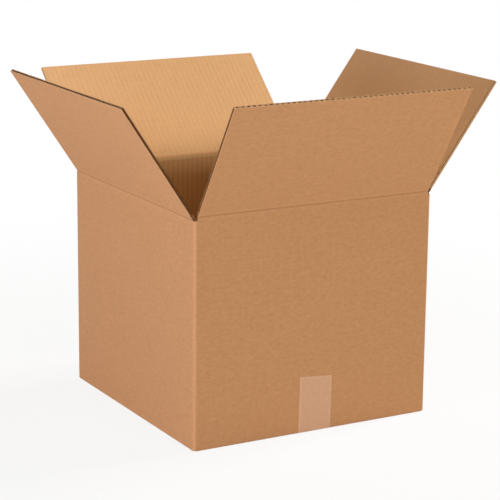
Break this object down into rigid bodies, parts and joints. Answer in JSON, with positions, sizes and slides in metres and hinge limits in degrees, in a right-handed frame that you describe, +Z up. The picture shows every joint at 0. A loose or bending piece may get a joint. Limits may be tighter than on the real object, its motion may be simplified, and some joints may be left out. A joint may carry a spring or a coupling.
{
  "type": "open cardboard box",
  "caption": "Square corrugated cardboard carton, its base taped shut and its top flaps folded open on scored hinges.",
  "frame": {"origin": "on the floor under the middle of the base, at the underside of the tape", "axes": "+Z up, -Y out of the front wall that carries the slanted tape tail, +X to the right wall"},
  "size_m": [0.5493, 0.5676, 0.4535],
  "materials": {
    "kraft_board": "matt unbleached kraft liner with faint flute lines",
    "packing_tape": "tan film with a soft sheen"
  },
  "bodies": {
    "carton": {"carton": "kraft_board", "tape": "packing_tape"},
    "flap_front": {"flap_front": "kraft_board"},
    "flap_back": {"flap_back": "kraft_board"},
    "flap_left": {"flap_left": "kraft_board"},
    "flap_right": {"flap_right": "kraft_board"}
  },
  "joints": [
    {"name": "flap_front_hinge", "type": "hinge", "parent": "carton", "child": "flap_front", "pos_m": [0, -0.175, 0.3035], "axis": [1, 0, 0], "range_deg": [-121.5, 145.5]},
    {"name": "flap_back_hinge", "type": "hinge", "parent": "carton", "child": "flap_back", "pos_m": [0, 0.175, 0.3035], "axis": [-1, 0, 0], "range_deg": [-137, 130]},
    {"name": "flap_left_hinge", "type": "hinge", "parent": "carton", "child": "flap_left", "pos_m": [-0.175, 0, 0.2993], "axis": [0, -1, 0], "range_deg": [-123.7, 143.3]},
    {"name": "flap_right_hinge", "type": "hinge", "parent": "carton", "child": "flap_right", "pos_m": [0.175, 0, 0.2993], "axis": [0, 1, 0], "range_deg": [-126.4, 140.6]}
  ]
}
